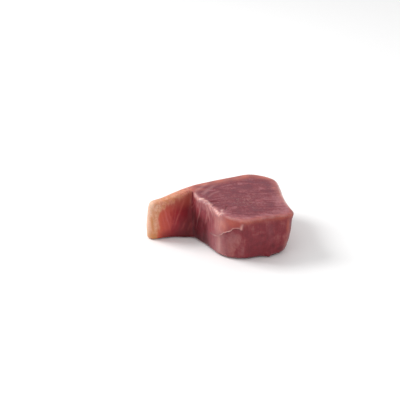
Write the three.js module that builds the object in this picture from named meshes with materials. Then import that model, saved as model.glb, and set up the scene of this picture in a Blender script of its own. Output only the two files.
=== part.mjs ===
// Raw tuna steak: one slice cut straight across a boneless loin, lying on its lower cut face.
// Millimetres, +Z up. The slice is a thick block of muscle with the thin belly flap at its left
// end. The flap curls to the front, so that the lining of the belly cavity makes a deep scoop
// between flap and block. The origin is the centre of the slice's box, at its lower face.

import * as THREE from "three";

// Driving dimensions of the slice.
const THICKNESS = 30.5; // from the lower cut face to the upper one
const FOOT_ROUND = 3; // radius where the block's sides turn under to the lower face
const FLAP_FOOT_ROUND = 1.6; // the same under the thin flap
const RIM_ROUND = 1.6; // radius where the sides meet the upper face
const SIDE_BULGE = 1.2; // how far the soft sides stand out at half height
const RIM_START = THICKNESS - RIM_ROUND;
const CREASE_REACH = 14; // nearer to the crease than this, the sides are hollow and don't bulge

const FLAP_START_X = -20;
const FLAP_END_X = -50;

// Unevenness of the upper face: a gentle swell over the block, and a droop towards the flap's end.
const SWELL = 0.5;
const SWELL_LENGTH = 46;
const FLAP_DROOP = 1;

// A torn shelf of flesh on the front face: its lower edge climbs from left to right, with its
// height given at even steps.
const SHELF_DEPTH = 1.1;
const SHELF_LEFT_X = -4.5;
const SHELF_RIGHT_X = 13;
const SHELF_HEIGHTS = [14.4, 15.8, 18.9, 21.7, 24, 24];
const SHELF_LIP = 2; // the torn edge drops back to the face over this height
const SHELF_FADE_UP = 9; // above its edge, the shelf runs out into the face over this height
const SHELF_FADE_ASIDE = 3;
const FRONT_Y = -15; // the shelf is only on what lies in front of this

// Loose scraps left by the knife: [x, y, z] of each, how far it stands out, and its reach.
const SCRAPS = [
  { at: [49.5, -28.5, 28.5], out: 1.3, reach: 2.6 },
  { at: [32.3, -36, 1.2], out: 2.6, reach: 2.3 },
  { at: [5, 30.3, 27], out: 0.6, reach: 2.6 },
];

// How finely the surface is divided.
const STEPS_PER_STATION = 5;
const SIDE_LEVELS = 14;
const ROUND_STEPS = 3;
const FACE_RINGS = 5;

// The slice's outline, anticlockwise from the flap's end as seen from above. Each station has its
// place at the upper face's rim and at the foot of the side, because the sides aren't upright, and
// the share of the middle line that its part of the upper face closes in on.
const OUTLINE = [
  { at: "flap end, outer corner", rim: [-48.2, -8.2], foot: [-50.6, -5], middle: 0 },
  { at: "flap end", rim: [-48.9, -11], foot: [-51.2, -8.1], middle: 0 },
  { at: "flap end, inner corner", rim: [-45.8, -13.1], foot: [-47.8, -10.9], middle: 0 },
  { at: "flap lining", rim: [-38, -9.7], foot: [-39, -9.4], middle: 0.09 },
  { at: "flap lining", rim: [-31, -4], foot: [-32, -8.4], middle: 0.19 },
  { at: "flap root", rim: [-24.5, 2], foot: [-25.5, -9.2], middle: 0.29 },
  { at: "crease beside the flap", rim: [-20, 6.6], foot: [-18.8, -11], middle: 0.35 },
  { at: "crease beside the block", rim: [-18.1, 0.6], foot: [-16, -13.3], middle: 0.44 },
  { at: "cavity wall", rim: [-15, -7.2], foot: [-12.8, -16.8], middle: 0.5 },
  { at: "cavity wall", rim: [-9.4, -15.2], foot: [-9.6, -21.4], middle: 0.56 },
  { at: "cavity wall", rim: [-4.9, -23.8], foot: [-5.9, -27.6], middle: 0.63 },
  { at: "block, front left corner", rim: [-1.2, -32.2], foot: [-1.6, -34], middle: 0.7 },
  { at: "block, front left corner", rim: [4, -36.6], foot: [4, -38.4], middle: 0.75 },
  { at: "front face", rim: [10.5, -40.2], foot: [10.5, -40.3], middle: 0.8 },
  { at: "front face, prow", rim: [15.4, -42.8], foot: [15.4, -40.5], middle: 0.84 },
  { at: "front face, prow", rim: [18, -42.6], foot: [18, -40.3], middle: 0.87 },
  { at: "front face", rim: [27, -39.3], foot: [26, -38], middle: 0.93 },
  { at: "front face", rim: [38, -35.3], foot: [36.4, -35], middle: 0.98 },
  { at: "block, front right corner", rim: [46, -33], foot: [42, -31], middle: 1 },
  { at: "block, front right corner", rim: [48.5, -27.5], foot: [45, -24.5], middle: 1 },
  { at: "spine side", rim: [46, -16], foot: [45.5, -11], middle: 1 },
  { at: "spine side", rim: [44, -2], foot: [44, 1], middle: 1 },
  { at: "spine side", rim: [43, 12], foot: [43, 13], middle: 0.98 },
  { at: "block, back right corner", rim: [41, 25.3], foot: [41, 24.8], middle: 0.93 },
  { at: "block, back right corner", rim: [34, 32.5], foot: [34, 31.5], middle: 0.86 },
  { at: "skin side", rim: [22, 36.8], foot: [22, 35.8], middle: 0.78 },
  { at: "skin side", rim: [8, 30.6], foot: [8, 29.6], middle: 0.66 },
  { at: "skin side", rim: [-7, 23.4], foot: [-7, 22.4], middle: 0.55 },
  { at: "skin side", rim: [-20, 16], foot: [-20, 15], middle: 0.42 },
  { at: "flap, skin side", rim: [-31.5, 6.3], foot: [-32, 6.3], middle: 0.22 },
  { at: "flap, skin side", rim: [-42, -3.5], foot: [-43.5, -1], middle: 0.07 },
];
const AROUND = OUTLINE.length * STEPS_PER_STATION;
const CREASE_STATION = OUTLINE.findIndex((station) => station.at.startsWith("crease"));

// The middle line of the slice in plan, from the flap's end to the block's spine side.
const MIDDLE = [
  [-44.5, -9.2],
  [-30, 2.5],
  [-20, 12],
  [-6, 8],
  [14, -4],
  [30, -6],
];
const MIDDLE_REACH = 0.86; // how near to the middle line the last ring of the upper face comes

const inPlan = (point) => new THREE.Vector3(...point, 0);
const closedCurve = (points) => new THREE.CatmullRomCurve3(points, true, "centripetal");
const rimCurve = closedCurve(OUTLINE.map((station) => inPlan(station.rim)));
const footCurve = closedCurve(OUTLINE.map((station) => inPlan(station.foot)));
const middleCurve = new THREE.CatmullRomCurve3(MIDDLE.map(inPlan), false, "centripetal");
const shelfCurve = new THREE.SplineCurve(SHELF_HEIGHTS.map((z, i) => new THREE.Vector2(i, z)));
const { lerp, smoothstep } = THREE.MathUtils;

// 1 in the block, falling to 0 at the flap's end.
const blockShare = (x) => smoothstep(x, FLAP_END_X, FLAP_START_X);

// The direction in plan that points out of the slice at one place of an outline.
function outwardOf(curve, t) {
  const along = curve.getTangent(t);
  return new THREE.Vector3(along.y, -along.x, 0).normalize();
}

// One upright strip of the side for each step round the outline: its rim and foot in plan, the
// direction out of the slice at each, how far it bulges, the radius of its foot, and the middle
// point that it faces.
function sideStrips() {
  const crease = inPlan(OUTLINE[CREASE_STATION].rim);
  const strips = [];
  for (let i = 0; i < AROUND; i++) {
    const t = i / AROUND;
    const station = Math.floor(i / STEPS_PER_STATION);
    const next = (station + 1) % OUTLINE.length;
    const step = i / STEPS_PER_STATION - station;
    const rim = rimCurve.getPoint(t);
    const nearCrease = Math.exp(-((rim.distanceTo(crease) / CREASE_REACH) ** 2));
    strips.push({
      rim,
      foot: footCurve.getPoint(t),
      rimOutward: outwardOf(rimCurve, t),
      footOutward: outwardOf(footCurve, t),
      bulge: SIDE_BULGE * (1 - nearCrease),
      footRound: lerp(FLAP_FOOT_ROUND, FOOT_ROUND, blockShare(rim.x)),
      middle: middleCurve.getPointAt(lerp(OUTLINE[station].middle, OUTLINE[next].middle, step)),
    });
  }
  return strips;
}

// How far the torn shelf stands out of the front face at a place of the side.
function shelfAt(point) {
  if (point.y > FRONT_Y) return 0;
  const share = (point.x - SHELF_LEFT_X) / (SHELF_RIGHT_X - SHELF_LEFT_X);
  const above = point.z - shelfCurve.getPoint(THREE.MathUtils.clamp(share, 0, 1)).y;
  const aside = Math.max(SHELF_LEFT_X - point.x, point.x - SHELF_RIGHT_X, 0);
  const lip = smoothstep(above, -SHELF_LIP, 0);
  const fadeUp = 1 - smoothstep(above, 0, SHELF_FADE_UP);
  const fadeAside = 1 - smoothstep(aside, 0, SHELF_FADE_ASIDE);
  return SHELF_DEPTH * lip * fadeUp * fadeAside;
}

// How far the knife's scraps stand out at a place of the side.
function scrapsAt(point) {
  let out = 0;
  for (const scrap of SCRAPS) {
    const away = point.distanceTo(new THREE.Vector3(...scrap.at)) / scrap.reach;
    out += scrap.out * Math.exp(-(away ** 2));
  }
  return out;
}

// How far the upper face lies above or below the slice's thickness.
function faceLift(point) {
  const swell = SWELL * Math.cos(point.x / SWELL_LENGTH) * Math.cos(point.y / SWELL_LENGTH);
  return swell - SWELL - FLAP_DROOP * (1 - blockShare(point.x));
}

// A point of the side at height z, moved into the slice by inset.
function sidePoint(strip, z, inset) {
  const share = z / THICKNESS;
  const outward = strip.footOutward.clone().lerp(strip.rimOutward, share).normalize();
  const point = strip.foot.clone().lerp(strip.rim, share).setZ(z);
  const bulge = strip.bulge * Math.sin(Math.PI * share);
  point.addScaledVector(outward, bulge + shelfAt(point) + scrapsAt(point) - inset);
  point.z += faceLift(point) * smoothstep(share, 0, 1);
  return point;
}

// Each ring is one closed loop of points round the slice, from the lower face up to the upper one.
function rings(strips) {
  const made = [];
  for (let k = 0; k < ROUND_STEPS; k++) {
    const angle = ((Math.PI / 2) * k) / ROUND_STEPS;
    made.push(
      strips.map((strip) => {
        const radius = strip.footRound;
        return sidePoint(strip, radius * (1 - Math.cos(angle)), radius * (1 - Math.sin(angle)));
      }),
    );
  }
  for (let k = 0; k <= SIDE_LEVELS; k++) {
    const share = k / SIDE_LEVELS;
    made.push(
      strips.map((strip) => sidePoint(strip, lerp(strip.footRound, RIM_START, share), 0)),
    );
  }
  for (let k = 1; k <= ROUND_STEPS; k++) {
    const angle = ((Math.PI / 2) * k) / ROUND_STEPS;
    const z = RIM_START + RIM_ROUND * Math.sin(angle);
    const inset = RIM_ROUND * (1 - Math.cos(angle));
    made.push(strips.map((strip) => sidePoint(strip, z, inset)));
  }
  const faceEdge = made.at(-1);
  for (let k = 1; k <= FACE_RINGS; k++) {
    const share = (MIDDLE_REACH * k) / FACE_RINGS;
    made.push(
      faceEdge.map((edgePoint, i) => {
        const point = edgePoint.clone().lerp(strips[i].middle, share);
        return point.setZ(THICKNESS + faceLift(point));
      }),
    );
  }
  return made;
}

// Joins the rings into one closed surface, with the first and the last ring filled.
function closedSurface(loops) {
  const positions = loops.flat().flatMap((point) => point.toArray());
  const index = [];
  for (let k = 0; k + 1 < loops.length; k++) {
    for (let i = 0; i < AROUND; i++) {
      const [a, b] = [k * AROUND + i, k * AROUND + ((i + 1) % AROUND)];
      const [c, d] = [a + AROUND, b + AROUND];
      index.push(a, b, d, a, d, c);
    }
  }
  const fill = (loop) =>
    THREE.ShapeUtils.triangulateShape(
      loop.map((point) => new THREE.Vector2(point.x, point.y)),
      [],
    );
  const last = (loops.length - 1) * AROUND;
  for (const [a, b, c] of fill(loops[0])) index.push(a, c, b);
  for (const [a, b, c] of fill(loops.at(-1))) index.push(last + a, last + b, last + c);
  const geometry = new THREE.BufferGeometry();
  geometry.setAttribute("position", new THREE.Float32BufferAttribute(positions, 3));
  geometry.setIndex(index);
  return geometry;
}

function tunaSteak() {
  const geometry = closedSurface(rings(sideStrips()));
  geometry.computeBoundingBox();
  const centre = geometry.boundingBox.getCenter(new THREE.Vector3());
  geometry.translate(-centre.x, -centre.y, 0);
  geometry.computeVertexNormals();
  const flesh = new THREE.MeshStandardMaterial({
    color: 0x8f5254,
    roughness: 0.38,
    metalness: 0,
  });
  const mesh = new THREE.Mesh(geometry, flesh);
  mesh.name = "tuna_steak";
  return mesh;
}

const steak = new THREE.Group();
steak.add(tunaSteak());

export default steak;
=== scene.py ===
"""The looks of the raw tuna steak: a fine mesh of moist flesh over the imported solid.

Lengths are millimetres in the frame's axes until they go to Blender, which takes metres.
"""

import math

import bmesh
import bpy
import numpy as np
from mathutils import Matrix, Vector
from mathutils.kdtree import KDTree


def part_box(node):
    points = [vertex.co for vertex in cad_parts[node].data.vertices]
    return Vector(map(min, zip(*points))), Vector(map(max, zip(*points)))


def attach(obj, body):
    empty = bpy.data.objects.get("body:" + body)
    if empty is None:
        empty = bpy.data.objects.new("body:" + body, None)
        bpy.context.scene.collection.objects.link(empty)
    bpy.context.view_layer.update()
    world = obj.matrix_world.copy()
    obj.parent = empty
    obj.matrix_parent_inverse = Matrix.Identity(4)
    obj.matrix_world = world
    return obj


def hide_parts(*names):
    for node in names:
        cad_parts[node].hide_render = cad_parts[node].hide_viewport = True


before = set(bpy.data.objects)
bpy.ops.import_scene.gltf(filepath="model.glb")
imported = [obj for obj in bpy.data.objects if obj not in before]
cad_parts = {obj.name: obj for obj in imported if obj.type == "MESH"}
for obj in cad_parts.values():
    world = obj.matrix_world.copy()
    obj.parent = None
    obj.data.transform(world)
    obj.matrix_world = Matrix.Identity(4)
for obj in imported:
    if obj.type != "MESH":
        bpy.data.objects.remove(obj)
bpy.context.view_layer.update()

MM = 0.001
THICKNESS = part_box("tuna_steak")[1][2] / MM

# The fine mesh: the size of its steps, and how its facets are taken out. Each round shrinks the
# surface by the first step and swells it back by the second.
VOXEL = 0.47
WELD_DISTANCE = 0.001
SMOOTHING_ROUNDS = 14
SMOOTHING_STEPS = (0.5, -0.52)

# What is rounded off further: the upper rims of the flap and by the seam, and the crease.
SOFTENING_STEP = 0.5
RIM_SOFTENING_ROUNDS = 10
SOFT_RIM_WIDTH = 3.0
SOFT_SEAM_WIDTH = 4.0
CREASE_SOFTENING_ROUNDS = 150
SOFT_CREASE_WIDTH = 3.4

# The rounded rim of the upper face: the upright share of the normal where it begins and ends, and
# how far down it can lie.
RIM_NORMAL = (0.5, 0.85)
RIM_DEPTH = 4.0

# How far painted lines and patches wander from their places, and the size and seeds of that noise.
WANDER = 0.45
WANDER_CELL = 4.0
WANDER_SEEDS = (61, 62, 63)

# The flap at the left end, from its cream tip to the crease where it leaves the block. Its tissues
# lean by the given amount for each millimetre of height, at some places along it.
TIP_EDGE_X = -45.0
CREASE = (-18.8, 9.6)
LEAN_AT_X = [-44.0, -38.0, -30.0, -20.0]
LEAN = [0.06, 0.08, 0.28, 0.45]
LEAN_HEIGHT = 17.0
FLAP_MIDDLE_X = [-43.3, -28.8, -18.8]
FLAP_MIDDLE_Y = [-6.2, 5.5, 15.0]

# The crease's inner corner from its top down to the floor, which is rounded off, and the short
# line of painted shade at its top.
CREASE_FOOT = [(-18.4, 6.4, 26.5), (-18.2, 1.3, 17.0), (-18.2, -1.6, 12.0), (-18.0, -6.8, 1.5)]
CREASE_SHADE_LINE = [(-18.8, 9.0, 30.5), (-18.3, 7.4, 28.5), (-17.8, 5.6, 26.8), (-17.5, 4.6, 25.0)]

# Single places: the whitest fat with a painted highlight on the flap's tip, and the dark scrap at the
# right corner.
TIP_CORNER = (-48.0, -11.0, 29.5)
SPINE_SCRAP = (50.6, -25.4, 28.5)

# Lines on the flap: cream and other connective tissue on its lining, and golden fat on its tip.
# Each is a path of (x, z), its half width and its strength. The cream band is a path alone.
CREAM_BAND = [(-44.4, 28.0), (-43.6, 22.0), (-42.8, 17.0), (-41.8, 11.7), (-40.2, 4.0)]
LINING_LINES = [
    ([(-38.2, 27.0), (-36.4, 19.6), (-35.2, 14.4), (-33.2, 5.0)], 0.6, 0.6),
    ([(-31.3, 29.0), (-31.5, 25.0), (-31.9, 20.0)], 0.6, 0.5),
    ([(-22.0, 30.0), (-24.1, 25.6), (-25.7, 21.8), (-27.4, 17.5), (-29.2, 12.9), (-31.4, 6.0)], 0.7, 0.5),
    ([(-34.5, 25.0), (-34.0, 18.0), (-33.0, 11.0), (-32.2, 6.0)], 0.5, 0.3),
    ([(-28.6, 27.0), (-29.6, 21.0), (-31.0, 14.0), (-32.0, 8.0)], 0.5, 0.25),
    ([(-40.0, 26.0), (-39.0, 19.0), (-37.6, 11.0), (-36.4, 4.0)], 0.5, 0.3),
    ([(-22.2, 13.5), (-24.8, 8.5), (-26.9, 4.0)], 0.6, 0.18),
    ([(-18.7, 11.5), (-20.9, 7.0), (-22.4, 3.5)], 0.6, 0.14),
    ([(-48.8, 28.0), (-49.2, 19.1), (-48.4, 11.0), (-46.8, 4.0)], 0.9, 0.4),
]
GOLD_LINES = [
    ([(-47.0, 21.0), (-46.0, 12.3), (-45.3, 7.1), (-44.6, 1.5)], 1.3, 0.85),
    ([(-45.8, 27.0), (-44.9, 19.0), (-44.2, 11.0)], 1.0, 0.55),
    ([(-43.0, 9.0), (-42.6, 5.0), (-42.8, 1.5)], 1.0, 0.4),
]

# Strands on the cavity's wall, each a path of (y, z), its half width and strength, and the dark
# gaps between them. Faint strands and a fringe under the seam are drawn at random.
WALL_STRANDS = [
    ([(-6.2, 29.6), (-8.3, 26.5), (-8.9, 22.9), (-8.4, 18.3), (-7.3, 12.9), (-6.4, 4.5)], 0.5, 0.3),
    ([(-11.0, 30.0), (-15.1, 27.2), (-16.8, 24.7), (-19.6, 21.8), (-21.6, 18.0)], 0.8, 0.42),
    ([(-13.4, 30.3), (-17.7, 28.4), (-21.9, 26.7), (-25.0, 23.5)], 0.9, 0.55),
    ([(-18.5, 30.3), (-22.5, 28.6), (-26.2, 25.6)], 0.8, 0.5),
    ([(-1.5, 28.5), (-3.0, 24.5), (-4.2, 19.0), (-4.6, 10.0)], 0.5, 0.16),
]
WALL_GAPS = [
    ([(-9.6, 27.0), (-9.8, 22.7), (-10.5, 17.0)], 0.9, 0.75),
    ([(-18.4, 23.0), (-18.9, 17.5)], 0.9, 0.6),
    ([(-12.5, 14.0), (-12.0, 7.0)], 1.0, 0.45),
]
STRAND_SEED = 5
FAINT_STRANDS = 18
FRINGE_STRANDS = 26

# The seam along the rim of the cavity's wall, in plan from back to front, with its branch and the
# pale stretch by the crease. Its pale knots are (x, y, z, strength).
SEAM = [(-16.9, 4.6), (-15.8, 0.6), (-14.2, -3.0), (-12.1, -5.3), (-9.7, -7.6), (-8.0, -10.4),
        (-6.5, -12.9), (-4.8, -16.2), (-3.2, -20.4), (-1.6, -25.4), (0.2, -28.8), (2.4, -29.2)]
SEAM_BRANCH = [(2.4, -29.2), (1.8, -26.0), (2.6, -21.5)]
SEAM_BY_CREASE = [(-17.2, 7.5), (-16.2, 2.0), (-15.2, -2.5)]
KNOTS = [(-15.8, 0.4, 29.6, 0.6), (-11.2, -5.6, 30.4, 1.0), (-5.6, -14.5, 30.4, 0.5),
         (1.5, -28.6, 30.3, 0.8)]
KNOT_WIDTH = 1.3

# The torn shelf on the front face: its edge as (x, z) from left to right, the knot at its end, the
# scraps of tissue at its start, and how pale its edge is at some places along X.
SHELF_EDGE = [(-3.9, 13.6), (-1.7, 14.8), (0.8, 16.3), (2.6, 18.6), (5.3, 20.3), (7.6, 21.4),
              (8.8, 23.0), (11.8, 24.0), (14.2, 24.0)]
SHELF_KNOT = [(14.4, 23.8), (14.8, 26.0), (15.8, 29.4)]
SHELF_SCRAPS = [
    ([(-4.4, 14.2), (-1.7, 14.6), (1.4, 15.2)], 0.5, 0.42),
    ([(-0.6, 12.0), (1.8, 11.4)], 0.5, 0.3),
]
SHELF_PALENESS = ([1.0, 5.0, 9.0, 14.0], [0.8, 0.8, 1.0, 1.0])

# Painted shade in hollows on the cavity's wall: (y, z, half width, half height, strength).
WALL_HOLLOW_SHADE = [(-15.5, 8.0, 4.5, 9.0, 0.42), (-2.8, 20.5, 1.8, 4.0, 0.3)]

# Soft patches on the front face: (x, z, half width, half height, strength). The first two are the
# pale fibres of its left corner.
FRONT_CORNER = [(0.6, 24.0, 3.2, 6.5, 1.0), (0.1, 8.0, 1.7, 8.0, 1.05)]
# The dark patches are partly painted shade, darkening the front face's right part.
DARK_PATCHES = [(22.3, 15.0, 4.0, 2.6, 0.4), (25.5, 12.0, 4.0, 2.6, 0.45), (28.5, 17.6, 4.5, 1.7, 0.5),
                (36.7, 16.8, 1.3, 1.2, 0.5), (36.6, 8.5, 3.2, 2.6, 0.6), (40.4, 5.4, 3.0, 2.0, 0.6),
                (31.0, 12.0, 7.0, 5.0, 0.3), (11.2, 6.0, 1.2, 3.0, 0.25), (20.5, 8.0, 2.0, 4.0, 0.3),
                (4.6, 16.0, 1.6, 1.4, 0.5)]
ROSE_PATCHES = [(1.6, 8.4, 3.4, 5.2, 0.95), (8.5, 10.0, 6.0, 8.5, 0.85), (44.5, 12.0, 2.0, 6.0, 0.35),
                (15.0, 9.0, 1.6, 7.0, 0.45), (24.0, 24.0, 6.0, 2.0, 0.2)]
MAUVE_PATCHES = [(34.4, 20.5, 2.0, 5.4, 0.35), (35.5, 13.0, 1.5, 3.6, 0.2), (28.0, 14.0, 1.2, 3.8, 0.12),
                 (9.0, 18.0, 3.4, 2.6, 0.6), (8.0, 14.0, 3.4, 3.2, 0.5), (15.2, 7.0, 1.6, 5.0, 0.3)]
WARM_PATCHES = [(8.0, 27.0, 7.0, 3.6, 0.75), (2.5, 24.0, 4.5, 4.5, 0.75), (12.6, 26.6, 3.4, 2.6, 0.55),
                (41.0, 28.4, 6.0, 1.6, 0.7), (46.6, 22.0, 1.2, 7.0, 0.7), (45.5, 9.0, 1.6, 5.0, 0.4)]

# Lines on the upper face, in plan: two cuts, and the fibres that fan out from the crease.
# The cuts are grooves, with painted shade along them.
SLIT = [(-8.6, -9.5), (-5.3, -10.1), (-1.0, -9.9), (2.4, -10.6)]
NICK = [(5.0, -17.0), (4.7, -20.5), (4.0, -24.5)]
FAN_ARCS = [
    ([(-16.9, 4.8), (-14.3, 10.4), (-9.5, 18.6), (-5.0, 24.0)], 1.5, 0.17),
    ([(-11.6, -1.0), (-8.7, 7.5), (-4.2, 14.8), (0.5, 19.5)], 1.5, 0.17),
    ([(-14.8, 7.0), (-12.4, 12.6), (-8.6, 17.0)], 0.8, 0.14),
    ([(-8.0, -4.0), (-4.0, 3.0), (2.0, 9.0)], 0.9, 0.12),
]
FAN_GAPS = [
    ([(-13.8, 2.4), (-11.3, 8.2), (-7.2, 15.2), (-2.6, 20.2)], 0.8, 0.25),
    ([(-9.6, -0.6), (-6.2, 7.6), (-1.6, 14.0), (4.0, 18.0)], 0.9, 0.25),
    ([(-6.4, -3.0), (-1.0, 4.6), (5.0, 9.0)], 0.9, 0.15),
]

# Soft patches on the upper face: (x, y, half length, half depth, strength).
STIPPLED = (17.5, -9.0, 15.0, 13.0, 1.0)
RED_BY_NICK = (6.0, -19.5, 5.5, 5.5, 0.35)

# The band of orange flesh along the back and right edges: the Y where it starts, and its width, at
# some places along X. An orange spot lies beside it.
# The band is partly painted glow of light through the thin rim.
BACK_BAND_START = ([-20.0, -10.0, 20.0, 46.0], [10.0, 6.0, 0.0, -16.0])
BACK_BAND_WIDTH = ([-20.0, 5.0, 25.0, 38.0, 46.0], [9.0, 8.5, 8.0, 4.0, 2.4])
WARM_SPOT = (40.0, 13.7)

# How deep the flap's cream strip reaches, from 0 at the tip to 1 at the crease.
CREAM_DEPTH = ([0.1, 0.16, 0.3, 0.45, 0.7, 1.0], [14.0, 8.0, 5.0, 3.2, 2.4, 1.6])

# The fibres of the upper face run along X, and left of this X they turn down to the crease.
FIBRES_TURN_AT_X = 5.0
FIBRES_TURN_WITHIN = 4.0
FIBRES_TURN_SLOPE = 0.75

# The relief: how far lines and edges stand out, how deep gaps and cuts are, and layers of
# unevenness, each with its height, the size of its lumps and its seed.
LINE_HEIGHT = 0.16
STRAND_HEIGHT = 0.22
SEAM_HEIGHT = 0.12
GAP_DEPTH = 0.2
LIP_HEIGHT = 0.3
LIP_GROOVE_DEPTH = 0.2
SHELF_KNOT_HEIGHT = 0.35
CUT_DEPTH = 0.35
CUT_WIDTH = 0.45
SIDE_LUMPS = [(0.24, 13.0, 1), (0.12, 5.0, 2), (0.05, (1.9, 1.9, 7.0), 3), (0.04, 1.3, 4)]
FACE_LUMPS = [(0.10, 8.0, 6)]
FACE_GROOVES = [(0.05, (9.0, 1.3, 9.0), 5)]


def smoothstep(value, low, high):
    """0 up to low and 1 from high on, with a soft run between."""
    share = np.clip((value - low) / (high - low), 0, 1)
    return share * share * (3 - 2 * share)


def bell(distance, width):
    """1 at no distance, falling to about a third at width."""
    return np.exp(-((distance / width) ** 2))


def lattice_noise(points, cell, seed):
    """Smooth noise from -1 to 1, with lumps about as large as cell, which may differ by axis."""
    size = 32
    lattice = np.random.default_rng(seed).uniform(-1, 1, (size, size, size))
    scaled = points / np.asarray(cell, float)
    base = np.floor(scaled).astype(int)
    part = scaled - base
    part = part * part * (3 - 2 * part)
    total = np.zeros(len(points))
    for corner in np.ndindex(2, 2, 2):
        weight = np.prod(np.where(corner, part, 1 - part), axis=1)
        total += weight * lattice[tuple(((base + corner) % size).T)]
    return total


def lumps(points, layers):
    """The sum of layers of noise, each given as its height, the size of its lumps and its seed."""
    return sum(height * lattice_noise(points, cell, seed) for height, cell, seed in layers)


def near(zones, place, width):
    """A soft ball round a place."""
    return bell(np.linalg.norm(zones.points - np.array(place), axis=1), width)


def stroke(plane, path, width, thin_ends=(0.2, 0.35)):
    """A soft line along a path, as shares: full on the path, thinning towards its two ends."""
    path = np.array(path, float)
    steps = np.diff(path, axis=0)
    lengths = np.linalg.norm(steps, axis=1)
    nearest = np.full(len(plane), np.inf)
    place = np.zeros(len(plane))
    before = 0.0
    for start, step, length in zip(path, steps, lengths):
        share = np.clip((plane - start) @ step / length**2, 0, 1)
        distance = np.linalg.norm(plane - start - share[:, None] * step, axis=1)
        closer = distance < nearest
        nearest[closer] = distance[closer]
        place[closer] = (before + share[closer] * length) / lengths.sum()
        before += length
    first, last = thin_ends
    return bell(nearest, width) * smoothstep(place, -0.001, first) * smoothstep(1 - place, -0.001, last)


def strokes(plane, lines):
    """The strongest of many soft lines at each point."""
    return np.max([strength * stroke(plane, path, width) for path, width, strength in lines], axis=0)


def patches(plane, spots):
    """Soft oval patches, each given as its middle, its half sizes and its strength."""
    total = np.zeros(len(plane))
    for across, up, half_across, half_up, strength in spots:
        reach = np.hypot((plane[:, 0] - across) / half_across, (plane[:, 1] - up) / half_up)
        total = np.maximum(total, strength * bell(reach, 1.0))
    return total


class Surface:
    """The fine mesh, with its points as an array in millimetres."""

    def __init__(self, node):
        self.piece = self.remeshed(node)
        self.mesh = self.piece.data
        count = len(self.mesh.vertices)
        flat = np.empty(count * 3, np.float32)
        self.mesh.vertices.foreach_get("co", flat)
        self.points = flat.reshape(-1, 3).astype(float) / MM
        pairs = np.empty(len(self.mesh.edges) * 2, np.int32)
        self.mesh.edges.foreach_get("vertices", pairs)
        self.ends = pairs.reshape(-1, 2)
        self.degree = np.bincount(pairs, minlength=count)

    @staticmethod
    def remeshed(node):
        """A copy of the solid's mesh, remeshed fine and even."""
        source = bmesh.new()
        source.from_mesh(node.data)
        bmesh.ops.remove_doubles(source, verts=source.verts, dist=WELD_DISTANCE * MM)
        mesh = bpy.data.meshes.new("steak_source")
        source.to_mesh(mesh)
        source.free()
        piece = bpy.data.objects.new("steak", mesh)
        bpy.context.scene.collection.objects.link(piece)
        remesh = piece.modifiers.new("fine", "REMESH")
        remesh.mode = "VOXEL"
        remesh.voxel_size = VOXEL * MM
        remesh.use_smooth_shade = True
        shown = piece.evaluated_get(bpy.context.evaluated_depsgraph_get())
        fine = bpy.data.meshes.new_from_object(shown)
        piece.modifiers.clear()
        piece.data = fine
        bpy.data.meshes.remove(mesh)
        return piece

    def neighbours_mean(self):
        """The middle of each point's neighbours."""
        first, second = self.ends.T
        count = len(self.points)
        mean = [
            (np.bincount(first, column[second], count) + np.bincount(second, column[first], count))
            / self.degree
            for column in self.points.T
        ]
        return np.stack(mean, axis=1)

    def smooth_points(self, rounds):
        """Takes the facets out and keeps the volume: each round shrinks, then swells back."""
        for _ in range(rounds):
            for step in SMOOTHING_STEPS:
                self.points += step * (self.neighbours_mean() - self.points)
        self.store_points()

    def soften_points(self, share, rounds):
        """Rounds the surface off where share is 1."""
        for _ in range(rounds):
            self.points += SOFTENING_STEP * share[:, None] * (self.neighbours_mean() - self.points)
        self.store_points()

    def store_points(self):
        self.mesh.vertices.foreach_set("co", (self.points * MM).astype(np.float32).ravel())
        self.mesh.update()

    def normals(self):
        flat = np.empty(len(self.points) * 3, np.float32)
        self.mesh.vertex_normals.foreach_get("vector", flat)
        return flat.reshape(-1, 3).astype(float)

    def distance_to(self, chosen):
        """The distance of each point from the nearest of the chosen ones."""
        tree = KDTree(int(chosen.sum()))
        for index, point in enumerate(self.points[chosen]):
            tree.insert(point, index)
        tree.balance()
        return np.array([tree.find(point)[2] for point in self.points])

    def store_field(self, name, field):
        attribute = self.mesh.attributes.new(name, "FLOAT", "POINT")
        attribute.data.foreach_set("value", field.astype(np.float32))


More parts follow.
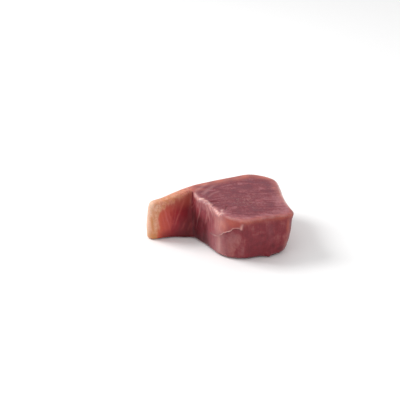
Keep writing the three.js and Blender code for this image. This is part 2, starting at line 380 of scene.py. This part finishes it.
class Zones:
    """Where each point lies on the steak, as distances and as shares from 0 to 1."""

    def __init__(self, surface):
        self.points = surface.points.copy()
        self.x, self.y, self.z = self.points.T
        self.nx, self.ny, self.nz = surface.normals().T
        self.down = THICKNESS - self.z
        self.upper = smoothstep(self.nz, *RIM_NORMAL)
        self.lower = smoothstep(-self.nz, *RIM_NORMAL)
        self.side = 1 - self.upper - self.lower
        low, high = RIM_NORMAL
        self.rim = surface.distance_to((self.nz > low) & (self.nz < high) & (self.down < RIM_DEPTH))
        wander = [WANDER * lattice_noise(self.points, WANDER_CELL, seed) for seed in WANDER_SEEDS]
        x, y, z = self.points.T + np.array(wander)
        self.plan = np.stack([x, y], axis=1)
        self.front_plane = np.stack([x, z], axis=1)
        self.wall_plane = np.stack([y, z], axis=1)
        lean = np.interp(self.x, LEAN_AT_X, LEAN)
        self.inward = (self.x + lean * (LEAN_HEIGHT - self.z) - TIP_EDGE_X) / (CREASE[0] - TIP_EDGE_X)
        self.flap = smoothstep(-self.x, 16.8, 20.0)
        outside = smoothstep(self.ny, 0.0, 0.5)
        ragged = 1.6 * lattice_noise(self.points, 3.0, 64) * outside
        self.tip = smoothstep(-self.x + ragged, 43.5 - 6.0 * outside, 46.0)
        self.inner = np.maximum(smoothstep(0.8 * self.nx - 0.6 * self.ny, -0.2, 0.3), self.tip)
        self.far = smoothstep(y - np.interp(self.x, FLAP_MIDDLE_X, FLAP_MIDDLE_Y), 0.0, 2.0)
        self.lining = self.side * self.flap * self.inner
        between = smoothstep(self.x, -20.0, -17.6) * smoothstep(-self.x - 0.45 * self.y, 7.0, 12.0)
        faces_left = smoothstep(-self.nx, 0.05, 0.6)
        seam_x, seam_y = np.array(SEAM).T
        self.wall_side = smoothstep(np.interp(-self.y, -seam_y, seam_x) - x, -0.8, 0.8)
        self.shoulder = self.upper * self.wall_side * between * smoothstep(-self.y, -6.0, -4.0)
        self.wall = self.side * between * faces_left * smoothstep(-self.y, -11.0, -8.0) + self.shoulder
        self.front = self.side * smoothstep(-self.ny, 0.1, 0.6) * smoothstep(self.x, -5.0, 0.0)
        self.behind = self.side * smoothstep(self.ny + 0.6 * self.nx, 0.2, 0.7)


def above_shelf(zones):
    """How far each point lies above the torn shelf's edge, and how strongly the shelf shows there."""
    edge_x, edge_z = np.array(SHELF_EDGE).T
    ragged = 0.3 * lattice_noise(zones.points, 1.6, 71)
    above = zones.z - np.interp(zones.x, edge_x, edge_z) + ragged
    from_left = smoothstep(zones.x, edge_x[0] + 1.5, edge_x[0] + 7.5)
    to_right = smoothstep(-zones.x, -edge_x[-1] - 0.8, -edge_x[-1] + 1.2)
    return above, from_left * to_right * zones.side * smoothstep(-zones.y, 22.0, 27.0)


def lining_lines(zones):
    """The lines on the flap's lining, with uneven strength."""
    breaks = 0.8 + 0.4 * lattice_noise(zones.points, 3.0, 12)
    return strokes(zones.front_plane, LINING_LINES) * breaks * zones.lining


def notch(zones):
    """The dark red hollow low on the cavity's wall, by the crease: dark flesh and painted shade, darker
    lower down.
    """
    by_crease = smoothstep(zones.y + 0.4 * zones.down, -18.0, -7.0)
    return zones.wall * by_crease * smoothstep(zones.down, 5.0, 15.0)


def wall_strands(zones):
    """The chosen strands, faint ones between them, and a fringe that hangs from the seam.

    They lean more towards the front corner.
    """
    draw = np.random.default_rng(STRAND_SEED)
    lines = list(WALL_STRANDS)
    for share in np.linspace(0, 1, FAINT_STRANDS):
        top = 5.0 - 32.0 * share + draw.uniform(-1.2, 1.2)
        lean = 0.1 - 0.9 * share + draw.uniform(-0.2, 0.2)
        start = draw.uniform(1.0, 9.0)
        length = draw.uniform(7.0, 17.0 - 5.0 * share)
        bend = draw.uniform(-0.02, 0.03)
        downs = start + length * np.linspace(0, 1, 4)
        path = [(top + lean * down + bend * down**2, THICKNESS - down) for down in downs]
        lines.append((path, draw.uniform(0.4, 0.8), draw.uniform(0.06, 0.22)))
    for share in np.linspace(0, 1, FRINGE_STRANDS):
        top = -1.0 - 27.0 * share + draw.uniform(-0.5, 0.5)
        lean = -0.4 - 0.6 * share + draw.uniform(-0.25, 0.25)
        downs = draw.uniform(3.0, 8.0) * np.linspace(0, 1, 3)
        path = [(top + lean * down, THICKNESS - down) for down in downs]
        lines.append((path, draw.uniform(0.35, 0.6), draw.uniform(0.1, 0.38)))
    breaks = 0.8 + 0.4 * lattice_noise(zones.points, 2.5, 13)
    return strokes(zones.wall_plane, lines) * breaks * zones.wall * (1 - 0.5 * notch(zones))


def seam(zones):
    """The seam of connective tissue along the rim of the cavity's wall, frayed towards the wall."""
    near_rim = smoothstep(-zones.down, -3.5, -1.5)
    uneven = 0.6 + 0.2 * lattice_noise(zones.points, 6.0, 21) + 0.6 * lattice_noise(zones.points, 1.1, 23)
    frayed = 0.5 + 1.0 * lattice_noise(zones.points, (0.9, 0.9, 3.0), 22)
    by_crease = np.interp(zones.x, [-15.0, -12.5], [0.4, 1.0])
    core = stroke(zones.plan, SEAM, 1.1, (0.05, 0.0)) * uneven * by_crease
    branch = 0.7 * stroke(zones.plan, SEAM_BRANCH, 0.9, (0.0, 0.4)) * uneven
    fray = 0.55 * stroke(zones.plan, SEAM, 3.0, (0.05, 0.0)) * frayed * zones.wall_side
    return np.clip(np.maximum.reduce([core, branch, fray]), 0, 1) * near_rim


def knots(zones):
    """The seam's pale knots."""
    return np.max([strength * near(zones, place, KNOT_WIDTH) for *place, strength in KNOTS], axis=0)


def shape_relief(surface, zones):
    """Moves the points along their normals: soft unevenness, fibres, seams, tears and cuts."""
    above, shelf = above_shelf(zones)
    along_fibres = np.stack([zones.x, streak_level(zones), zones.z], axis=1)
    relief = zones.side * lumps(zones.points, SIDE_LUMPS)
    on_face = lumps(zones.points, FACE_LUMPS) + lumps(along_fibres, FACE_GROOVES)
    relief += (zones.upper + zones.lower) * on_face
    relief += (
        LINE_HEIGHT * lining_lines(zones)
        + STRAND_HEIGHT * wall_strands(zones)
        + SEAM_HEIGHT * seam(zones)
        + SEAM_HEIGHT * knots(zones)
    )
    relief -= GAP_DEPTH * strokes(zones.wall_plane, WALL_GAPS) * zones.wall
    lip = LIP_HEIGHT * bell(above - 0.4, 1.6) * (above > 0.0)
    relief += shelf * (lip - LIP_GROOVE_DEPTH * bell(above + 0.8, 0.7))
    relief += SHELF_KNOT_HEIGHT * stroke(zones.front_plane, SHELF_KNOT, 0.8, (0.0, 0.8)) * zones.front
    cuts = stroke(zones.plan, SLIT, CUT_WIDTH) + 0.9 * stroke(zones.plan, NICK, CUT_WIDTH)
    relief -= CUT_DEPTH * cuts * zones.upper
    off_floor = smoothstep(zones.z, 0.2, 2.5)
    surface.points = zones.points + surface.normals() * (relief * off_floor)[:, None]
    surface.points[:, 2] = np.maximum(surface.points[:, 2], 0.0)
    surface.store_points()


def streak_level(zones):
    """A level that runs along X over most of the upper face and turns down to the crease at its left."""
    past_turn = -(zones.x - FIBRES_TURN_AT_X) / FIBRES_TURN_WITHIN
    turn = -FIBRES_TURN_WITHIN * np.logaddexp(0.0, past_turn)
    return zones.y - FIBRES_TURN_SLOPE * turn + 1.1 * lattice_noise(zones.points, 12.0, 31)


def back_band(zones):
    """1 near the back and right edges, and how wide their band of orange flesh is there."""
    start = np.interp(zones.x, *BACK_BAND_START)
    return smoothstep(zones.y - start, 0.0, 6.0), np.interp(zones.x, *BACK_BAND_WIDTH)


def cream_share(zones):
    """The pale fatty tissue: the flap's tip and its upper strip, thinner towards the crease."""
    streaked = lattice_noise(zones.points, (1.3, 1.3, 8.0), 42)
    depth = np.interp(zones.inward, *CREAM_DEPTH)
    depth = depth + 1.3 * lattice_noise(zones.points, 3.0, 41) + 1.6 * streaked
    at_tip = smoothstep(0.105 + 0.03 * streaked - zones.inward, -0.05, 0.05)
    at_top = smoothstep(depth - zones.down, -2.2, 2.2)
    strip = zones.flap * (zones.upper + zones.side * np.maximum(at_tip, at_top) * zones.inner)
    band = 0.7 * stroke(zones.front_plane, CREAM_BAND, 0.9, (0.1, 0.4)) * zones.lining
    return np.clip(np.maximum(strip, band), 0, 1)


def gold_share(zones):
    """Golden fat: streaks and the foot of the flap's tip, and blots on its strip."""
    blots = smoothstep(lattice_noise(zones.points, 2.0, 43), -0.1, 0.5) * zones.flap * (1 - zones.tip)
    on_strip = 0.5 * blots * cream_share(zones) * smoothstep(-zones.x, 22.0, 30.0)
    foot = 0.9 * bell(zones.z - 2.0, 5.5) * smoothstep(-zones.x, 42.0, 44.0) * (1 - zones.upper)
    streaks = strokes(zones.front_plane, GOLD_LINES) * zones.side
    return np.maximum.reduce([streaks, on_strip, foot])


def bands(zones, cell, seed):
    """Soft upright bands of another tissue on the skin side and the spine side."""
    return zones.behind * smoothstep(lattice_noise(zones.points, (cell, cell, 4 * cell), seed), 0.0, 0.7)


def skin_share(zones):
    """The flap's outer side, where the skin was cut off, and its ragged run into the block."""
    uneven = 6.0 * lattice_noise(zones.points, (7.0, 7.0, 14.0), 65)
    uneven += 4.0 * lattice_noise(zones.points, (2.0, 2.0, 9.0), 66)
    return zones.side * zones.far * (1 - zones.inner) * smoothstep(-zones.x + uneven, 2.0, 36.0)


def white_share(zones):
    """The whitest colour on the flap's tip: white fat with a painted highlight on its corner, and a
    painted highlight along its outline.
    """
    corner = 0.5 * zones.flap * near(zones, TIP_CORNER, 4.0)
    # A painted highlight on the side of the tip that faces left.
    outline = 0.22 * smoothstep(-zones.nx, 0.2, 0.8) * smoothstep(-zones.x, 45.0, 47.5)
    return np.maximum(corner, outline) * (1 + 0.6 * lattice_noise(zones.points, (1.4, 1.4, 8.0), 67))


def rose_share(zones):
    """Pinkish, paler muscle: soft patches, the front left corner with a painted highlight, and painted
    glow on the top's front and right rims.
    """
    # Pale fibres with a painted highlight on the front left corner.
    corner = bell(zones.x + 0.9 - 0.1 * zones.down, 3.6) * smoothstep(-zones.y, 20.0, 26.0)
    spots = patches(zones.front_plane, ROSE_PATCHES) * zones.front
    uneven = 0.8 + 0.6 * lattice_noise(zones.points, 4.0, 55)
    # Painted glow of light through the rims of the upper face.
    front_rim_light = uneven * bell(zones.rim, 5.5) * smoothstep(-zones.y, 16.0, 26.0)
    front_right = smoothstep(-zones.y, 2.0, 12.0)
    right_rim_glow = (0.4 + 0.4 * front_right) * bell(zones.rim, 6.0 + 4.0 * front_right)
    right_rim_glow *= smoothstep(zones.x, 32.0, 40.0)
    by_nick = patches(zones.plan, [RED_BY_NICK])
    on_face = np.maximum.reduce([front_rim_light, right_rim_glow, by_nick]) * (zones.upper - zones.shoulder)
    return np.maximum.reduce([corner * zones.side, spots, on_face, 0.5 * bands(zones, 6.0, 57)])


def mauve_share(zones):
    """Greyish pink muscle: the wall under its seam and towards the front, and soft patches."""
    off_crease = smoothstep(-zones.y - 0.8 * zones.down, -6.0, 6.0)
    under_seam = 0.75 * zones.wall * bell(zones.down - 1.0, 8.0) * off_crease
    front_wall = 0.6 * zones.wall * smoothstep(-zones.y, 16.0, 22.0)
    on_wall = np.maximum(under_seam, front_wall) * (1 - 0.7 * notch(zones))
    in_front = patches(zones.front_plane, MAUVE_PATCHES) * zones.front
    return np.maximum.reduce([on_wall, in_front, 0.45 * bands(zones, 5.0, 59)])


def deep_share(zones):
    """Dark red muscle: the notch and the front's patches, both partly painted shade, and gaps between
    strands.
    """
    spots = patches(zones.front_plane, DARK_PATCHES) * zones.front
    gaps = strokes(zones.wall_plane, WALL_GAPS) * zones.wall
    fan_gaps = strokes(zones.plan, FAN_GAPS) * zones.upper
    return np.maximum.reduce([notch(zones), spots, gaps, fan_gaps, 0.45 * bands(zones, 5.0, 58)])


def warm_share(zones):
    """Orange flesh above the shelf and on top by the crease, and painted glow of light through thin flesh
    under the rims.
    """
    above = above_shelf(zones)[0]
    over_shelf = patches(zones.front_plane, WARM_PATCHES) * zones.side * smoothstep(zones.x, -5.0, 2.0)
    under_lip = smoothstep(above, -0.6, 0.5) + smoothstep(zones.x, 13.0, 16.0)
    by_crease = bell(np.hypot(zones.x - CREASE[0] - 0.5, (zones.y - CREASE[1] - 2.5) * 0.8), 4.6)
    back, width = back_band(zones)
    uneven = 0.85 + 0.6 * lattice_noise(zones.points, 5.0, 51)
    off_seam = 1 - stroke(zones.plan, SEAM, 5.0, (0.0, 0.0))
    off_spine = 1 - 0.6 * smoothstep(zones.x, 36.0, 42.0) * smoothstep(zones.y, -24.0, -14.0)
    return np.clip(np.maximum.reduce([
        over_shelf * np.clip(under_lip, 0, 1),
        # Painted glow of light through the thin flesh under the rims.
        0.75 * uneven * bell(zones.rim, 2.4) * zones.side * off_seam * off_spine,
        0.5 * uneven * bell(zones.rim, 2.2) * zones.upper * off_seam * off_spine,
        # The back band: orange flesh, partly painted glow.
        uneven * back * (1 - smoothstep(zones.rim, 0.2 * width, 1.4 * width)) * zones.upper * off_spine,
        0.8 * by_crease * zones.upper,
        0.8 * bell(np.hypot(zones.x - WARM_SPOT[0], zones.y - WARM_SPOT[1]), 1.6) * zones.upper,
        # Painted glow on the lining's upper part, under its rim.
        0.8 * zones.lining * (1 - smoothstep(zones.down, 3.0, 13.0)) * smoothstep(zones.x, -40.0, -32.0),
    ]), 0, 1)


def pale_share(zones):
    """Thin whitish lines: septa, strands, the seam and its knots, the shelf's edge, and painted highlights
    along the rims.
    """
    above, shelf = above_shelf(zones)
    back = back_band(zones)[0]
    # Painted highlights along the back, far, spine and front rims.
    back_highlight = (0.55 * bell(zones.rim, 0.9) + 0.12 * bell(zones.rim, 4.0)) * back * (1 - 0.5 * zones.side)
    far_highlight = 0.85 * bell(zones.rim, 1.0) * zones.far * smoothstep(-zones.x, 8.0, 14.0)
    spine_highlight = 0.8 * bell(zones.rim, 1.1) * smoothstep(zones.x, 38.0, 42.0)
    spine_highlight *= smoothstep(zones.y, -26.0, -18.0)
    front_rim_light = bell(zones.rim, 0.6) * smoothstep(zones.x, 0.0, 6.0) * smoothstep(-zones.y, 18.0, 26.0)
    uneven_fibres = 0.9 + 0.8 * lattice_noise(zones.points, (1.2, 1.2, 7.0), 53)
    front_corner = 0.24 * uneven_fibres * patches(zones.front_plane, FRONT_CORNER)
    front_corner *= smoothstep(-zones.y, 20.0, 26.0)
    scrap_breaks = 0.75 + 0.7 * lattice_noise(zones.points, 1.4, 54)
    scraps = strokes(zones.front_plane, SHELF_SCRAPS) * scrap_breaks * zones.side
    along_shelf = np.interp(zones.x, *SHELF_PALENESS)
    by_crease = stroke(zones.plan, SEAM_BY_CREASE, 1.7, (0.3, 0.2)) * smoothstep(-zones.down, -4.0, -1.0)
    by_crease *= 0.42 + 0.3 * lattice_noise(zones.points, (0.8, 1.6, 1.6), 56)
    uneven = 0.8 + 0.5 * lattice_noise(zones.points, 3.5, 52)
    return np.maximum.reduce([
        front_corner * zones.side,
        wall_strands(zones),
        seam(zones),
        knots(zones),
        by_crease,
        0.2 * zones.shoulder,
        uneven * back_highlight,
        uneven * far_highlight,
        uneven * spine_highlight,
        0.22 * uneven * front_rim_light,
        along_shelf * uneven * shelf * bell(above - 0.3, 0.45),
        0.65 * stroke(zones.front_plane, SHELF_KNOT, 0.7, (0.0, 0.9)) * zones.front,
        scraps * smoothstep(-zones.y, 20.0, 25.0),
        strokes(zones.plan, FAN_ARCS) * zones.upper,
    ])


def dark_share(zones):
    """Painted shade in cuts, the crease, wall hollows, at the lining's foot and under the lip; and the
    dark scrap.
    """
    above, shelf = above_shelf(zones)
    return np.maximum.reduce([
        0.4 * stroke(zones.plan, SLIT, 0.5) * zones.upper,
        0.5 * stroke(zones.plan, NICK, 0.5) * zones.upper,
        0.8 * stroke(zones.points, CREASE_SHADE_LINE, 0.55, (0.1, 0.5)),
        0.4 * near(zones, SPINE_SCRAP, 1.8),
        patches(zones.wall_plane, WALL_HOLLOW_SHADE) * zones.wall,
        # Painted shade at the lining's foot, by the floor.
        0.45 * zones.lining * bell(zones.z - 1.0, 4.5) * smoothstep(zones.x, -42.0, -38.0),
        # Painted shadow under the shelf's lip.
        0.3 * shelf * bell(above + 0.7, 0.6) * smoothstep(zones.x, 0.0, 3.0),
    ])


def paint_fields(surface, zones):
    """Stores what the material reads: where each tissue shows, as shares, and the runs of its grain."""
    fields = {
        "cut_face": (zones.upper - zones.shoulder) + zones.lower,
        "streak_level": streak_level(zones),
        "inward": zones.inward,
        "lining": np.maximum(zones.lining, zones.tip * zones.side),
        "outer": skin_share(zones),
        "white": white_share(zones),
        "dashes": smoothstep(zones.y + 0.35 * zones.x, 6.0, 20.0),
        "stipple": patches(zones.plan, [STIPPLED]),
        "cream": cream_share(zones),
        "gold": gold_share(zones),
        "rose": rose_share(zones),
        "mauve": mauve_share(zones),
        "deep": deep_share(zones),
        "warm": warm_share(zones),
        "pale": np.clip(pale_share(zones), 0, 1),
        "lines": np.clip(lining_lines(zones), 0, 1),
        "dark": dark_share(zones),
    }
    for name, field in fields.items():
        surface.store_field(name, field)


def linear(red, green, blue):
    """A colour given as it shows on a screen, from 0 to 255, as the linear one that nodes take."""
    shares = np.array([red, green, blue]) / 255
    return (*np.where(shares > 0.04045, ((shares + 0.055) / 1.055) ** 2.4, shares / 12.92), 1.0)


# Plain colours of tissues. DARK is mostly painted shade; WARM, WHITE and PALE also give painted glow and
# highlights.
MAUVE = linear(142, 84, 90)
SPECK = linear(160, 112, 106)
LINE = linear(204, 110, 102)
WARM = linear(176, 92, 78)
STRIP_FLECK = linear(158, 94, 70)
GOLD = linear(194, 126, 74)
WHITE = linear(236, 212, 190)
PALE = linear(226, 178, 171)
DARK = linear(62, 12, 18)

# Runs of colours, each with its place from 0 to 1: from dark to pale for the muscle and the outer
# side, and from the flap's tip to the crease for its lining and its strip.
MUSCLE = [(0.0, linear(80, 20, 28)), (0.5, linear(132, 49, 57)), (1.0, linear(178, 116, 110))]
FACE = [(0.0, linear(98, 30, 50)), (0.5, linear(120, 44, 55)), (1.0, linear(164, 100, 106))]
OUTER = [(0.0, linear(136, 66, 64)), (0.5, linear(170, 104, 94)), (1.0, linear(204, 150, 130))]
LINING = [
    (0.02, linear(212, 154, 124)),
    (0.09, linear(208, 136, 104)),
    (0.17, linear(202, 94, 70)),
    (0.42, linear(188, 78, 70)),
    (0.6, linear(156, 44, 52)),
    (0.76, linear(132, 36, 44)),
    (0.95, linear(112, 26, 34)),
    (1.0, linear(104, 19, 25)),
]
STRIP = [
    (0.0, linear(220, 170, 144)),
    (0.25, linear(214, 150, 120)),
    (0.6, linear(203, 130, 110)),
    (0.82, linear(190, 110, 96)),
    (1.0, linear(174, 88, 80)),
]

# The shine and the depth of moist flesh, and its finest relief, with a height in millimetres.
MOIST_FLESH = {
    "Subsurface Weight": 0.35,
    "Subsurface Radius": (1.0, 0.32, 0.22),
    "Subsurface Scale": 0.003,
    "Specular IOR Level": 0.18,
    "Coat Weight": 0.08,
    "Coat Roughness": 0.15,
}
BUMP_STRENGTH = 0.35
BUMP_HEIGHT = 0.3


class Nodes:
    """Builds a material's nodes with few words."""

    def __init__(self, name):
        self.material = bpy.data.materials.new(name)
        self.material.use_nodes = True
        self.tree = self.material.node_tree
        self.shader = self.tree.nodes["Principled BSDF"]

    def add(self, kind, inputs=(), **settings):
        node = self.tree.nodes.new(kind)
        for key, value in settings.items():
            setattr(node, key, value)
        for key, value in dict(inputs).items():
            self.put(node.inputs[key], value)
        return node

    def put(self, socket, value):
        if isinstance(value, bpy.types.NodeSocket):
            self.tree.links.new(value, socket)
        else:
            socket.default_value = value

    def field(self, name):
        return self.add("ShaderNodeAttribute", attribute_name=name).outputs["Fac"]

    def math(self, operation, *values):
        return self.add("ShaderNodeMath", enumerate(values), operation=operation).outputs[0]

    def multiplied(self, vector, factors):
        return self.add("ShaderNodeVectorMath", {0: vector, 1: factors}, operation="MULTIPLY").outputs[0]

    def total(self, start, *terms):
        """start plus each term's value times its weight."""
        for value, weight in terms:
            start = self.math("MULTIPLY_ADD", value, weight, start)
        return start

    def mix(self, share, first, second):
        node = self.add("ShaderNodeMix", {0: share, 6: first, 7: second}, data_type="RGBA")
        return node.outputs[2]

    def gradient(self, value, stops):
        """The colour at value on a run of colours, each given with its place from 0 to 1."""
        node = self.add("ShaderNodeValToRGB", {"Fac": value})
        elements = node.color_ramp.elements
        elements.remove(elements[1])
        elements[0].position, elements[0].color = stops[0]
        for place, colour in stops[1:]:
            elements.new(place).color = colour
        return node.outputs["Color"]

    def noise(self, vector, scale, detail=2.0, roughness=0.5, distortion=0.0):
        """Noise centred on 0, with lumps about 1 / scale large."""
        inputs = {"Vector": vector, "Scale": scale, "Detail": detail, "Roughness": roughness}
        texture = self.add("ShaderNodeTexNoise", {**inputs, "Distortion": distortion})
        return self.math("SUBTRACT", texture.outputs["Fac"], 0.5)

    def ramp(self, value, low, high):
        """0 below low and 1 above high, with a soft run between."""
        inputs = {"Value": value, "From Min": low, "From Max": high}
        return self.add("ShaderNodeMapRange", inputs, interpolation_type="SMOOTHSTEP").outputs["Result"]


def flesh_material():
    """The muscle of the sides, with each other tissue mixed over it where its field shows it."""
    nodes = Nodes("flesh")
    in_metres = nodes.add("ShaderNodeTexCoord").outputs["Object"]
    place = nodes.multiplied(in_metres, (1 / MM, 1 / MM, 1 / MM))
    across = nodes.add("ShaderNodeSeparateXYZ", {0: place}).outputs[0]
    level = nodes.field("streak_level")
    inward = nodes.field("inward")

    blotches = nodes.noise(place, 0.12)
    mottle = nodes.noise(place, 0.4, 3.0, 0.65)
    fibres = nodes.noise(nodes.multiplied(place, (1.0, 1.0, 0.2)), 0.5, 3.0, 0.6, 0.5)
    grain = nodes.noise(place, 0.85, 3.0, 0.7)
    speckle = nodes.noise(place, 2.2, 2.0, 0.6)
    streak_place = nodes.add("ShaderNodeCombineXYZ", {0: nodes.math("MULTIPLY", across, 0.16), 1: level})
    streaks = nodes.noise(streak_place.outputs[0], 0.42, 3.0, 0.55)
    dashes = nodes.ramp(nodes.noise(streak_place.outputs[0], 0.8, 1.0), 0.04, 0.2)
    deep_place = nodes.multiplied(place, (1.0, 0.5, 1.0))
    flecks = nodes.ramp(nodes.noise(deep_place, 0.8, 2.0, 0.6, 1.0), 0.03, 0.14)
    face_grain = nodes.noise(deep_place, 0.7, 3.0, 0.75)
    stipple = nodes.field("stipple")
    face_streaks = nodes.math("MULTIPLY", streaks, nodes.total(1.0, (stipple, -0.5)))

    side_value = nodes.total(0.48, (blotches, 0.7), (mottle, 0.2), (fibres, 0.45), (grain, 0.25),
                             (nodes.field("rose"), 0.42), (nodes.field("deep"), -0.42))
    mauve = nodes.math("MULTIPLY", nodes.field("mauve"), nodes.total(1.0, (blotches, 0.8), (fibres, 0.4)))
    side = nodes.mix(mauve, nodes.gradient(side_value, MUSCLE), MAUVE)
    face_value = nodes.total(0.48, (face_streaks, 1.0), (face_grain, 0.7), (mottle, 0.35), (blotches, 1.0),
                             (nodes.math("MULTIPLY", dashes, nodes.field("dashes")), -0.25),
                             (nodes.field("rose"), 0.5), (nodes.field("deep"), -0.4))
    specks = nodes.math("MULTIPLY", flecks, nodes.math("MULTIPLY", stipple, 0.42))
    face = nodes.mix(specks, nodes.gradient(face_value, FACE), SPECK)
    lining_value = nodes.total(0.08, (inward, 0.87), (blotches, 0.22), (fibres, 0.2), (mottle, 0.12))
    lining = nodes.mix(nodes.field("lines"), nodes.gradient(lining_value, LINING), LINE)
    strip_value = nodes.total(inward, (blotches, 0.5), (fibres, 0.5), (mottle, 1.3), (grain, 0.8))
    strip_flecks = nodes.math("MULTIPLY", nodes.ramp(grain, 0.0, 0.2), 0.5)
    strip = nodes.mix(strip_flecks, nodes.gradient(strip_value, STRIP), STRIP_FLECK)
    outer_value = nodes.total(0.6, (inward, -0.25), (blotches, 0.9), (fibres, 1.1), (mottle, 0.5),
                              (grain, 0.5))
    outer = nodes.gradient(outer_value, OUTER)

    tissues = {"cut_face": face, "lining": lining, "outer": outer, "warm": WARM, "cream": strip,
               "gold": GOLD, "white": WHITE, "pale": PALE, "dark": DARK}
    colour = side
    for name, tissue in tissues.items():
        colour = nodes.mix(nodes.field(name), colour, tissue)
    shade = nodes.total(1.0, (speckle, 0.3), (grain, 0.2))

    height = nodes.total(0.0, (grain, 0.8), (speckle, 0.5), (streaks, 0.5))
    relief = {"Strength": BUMP_STRENGTH, "Distance": BUMP_HEIGHT * MM, "Height": height}
    bump = nodes.add("ShaderNodeBump", relief)

    shader = nodes.shader
    nodes.put(shader.inputs["Base Color"], nodes.multiplied(colour, shade))
    nodes.put(shader.inputs["Roughness"], nodes.total(0.4, (blotches, 0.3), (speckle, 0.2)))
    nodes.put(shader.inputs["Normal"], bump.outputs[0])
    for name, value in MOIST_FLESH.items():
        shader.inputs[name].default_value = value
    return nodes.material


def plain_material(name, colour, roughness):
    nodes = Nodes(name)
    nodes.shader.inputs["Base Color"].default_value = colour
    nodes.shader.inputs["Roughness"].default_value = roughness
    return nodes.material


# The camera: its focal length in pixels, how far it looks down, its distance from the steak's
# middle, and the pixel where that middle shows.
IMAGE_PIXELS = 400
FOCAL_PIXELS = 900
SENSOR_WIDTH = 36.0
PITCH = math.radians(24.5)
DISTANCE = 634.8
MIDDLE = np.array([0.0, 0.0, 15.0])
MIDDLE_PIXEL = (218.2, 215.5)

# The studio, in metres and watts: white light from all round, one soft light at the back left, and
# a floor just under the steak.
WORLD_STRENGTH = 0.8
KEY_PLACE = (-0.75, 0.25, 0.7)
KEY_SIZE = 0.45
KEY_WATTS = 7.5
FLOOR_SIZE = 6.0
FLOOR_Z = -0.0002
FLOOR_COLOUR = (0.96, 0.96, 0.96, 1.0)
FLOOR_ROUGHNESS = 0.6


def make_camera():
    data = bpy.data.cameras.new("camera")
    data.sensor_width = SENSOR_WIDTH
    data.lens = SENSOR_WIDTH * FOCAL_PIXELS / IMAGE_PIXELS
    camera = bpy.data.objects.new("camera", data)
    forward = np.array([0.0, math.cos(PITCH), -math.sin(PITCH)])
    up = np.array([0.0, math.sin(PITCH), math.cos(PITCH)])
    right = np.array([1.0, 0.0, 0.0])
    aside = (MIDDLE_PIXEL[0] - IMAGE_PIXELS / 2) / FOCAL_PIXELS
    below = (MIDDLE_PIXEL[1] - IMAGE_PIXELS / 2) / FOCAL_PIXELS
    camera.location = Vector((MIDDLE - DISTANCE * (forward + aside * right - below * up)) * MM)
    camera.rotation_euler = (math.pi / 2 - PITCH, 0.0, 0.0)
    bpy.context.scene.collection.objects.link(camera)
    bpy.context.scene.camera = camera


def make_light(name, place, size, watts):
    data = bpy.data.lights.new(name, "AREA")
    data.size = size
    data.energy = watts
    light = bpy.data.objects.new(name, data)
    light.location = place
    light.rotation_euler = (-Vector(place)).to_track_quat("-Z", "Y").to_euler()
    bpy.context.scene.collection.objects.link(light)


def make_studio():
    world = bpy.data.worlds.new("studio")
    world.use_nodes = True
    background = world.node_tree.nodes["Background"]
    background.inputs["Color"].default_value = (1.0, 1.0, 1.0, 1.0)
    background.inputs["Strength"].default_value = WORLD_STRENGTH
    bpy.context.scene.world = world
    bpy.context.scene.view_settings.view_transform = "Standard"
    make_light("key", KEY_PLACE, KEY_SIZE, KEY_WATTS)
    bpy.ops.mesh.primitive_plane_add(size=FLOOR_SIZE, location=(0.0, 0.0, FLOOR_Z))
    floor = bpy.context.object
    floor.name = "floor"
    floor.data.materials.append(plain_material("floor", FLOOR_COLOUR, FLOOR_ROUGHNESS))


def make_steak():
    surface = Surface(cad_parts["tuna_steak"])
    surface.smooth_points(SMOOTHING_ROUNDS)
    zones = Zones(surface)
    by_seam = stroke(zones.plan, SEAM, SOFT_SEAM_WIDTH, (0.0, 0.0))
    soft_rims = np.maximum(zones.flap, by_seam) * bell(zones.rim, SOFT_RIM_WIDTH)
    soft_crease = stroke(zones.points, CREASE_FOOT, SOFT_CREASE_WIDTH, (0.2, 0.0))
    surface.soften_points(soft_rims, RIM_SOFTENING_ROUNDS)
    surface.soften_points(soft_crease, CREASE_SOFTENING_ROUNDS)
    zones = Zones(surface)
    paint_fields(surface, zones)
    shape_relief(surface, zones)
    piece = surface.piece
    piece.data.materials.clear()
    piece.data.materials.append(flesh_material())
    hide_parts("tuna_steak")
    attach(piece, "root")


make_camera()
make_studio()
make_steak()
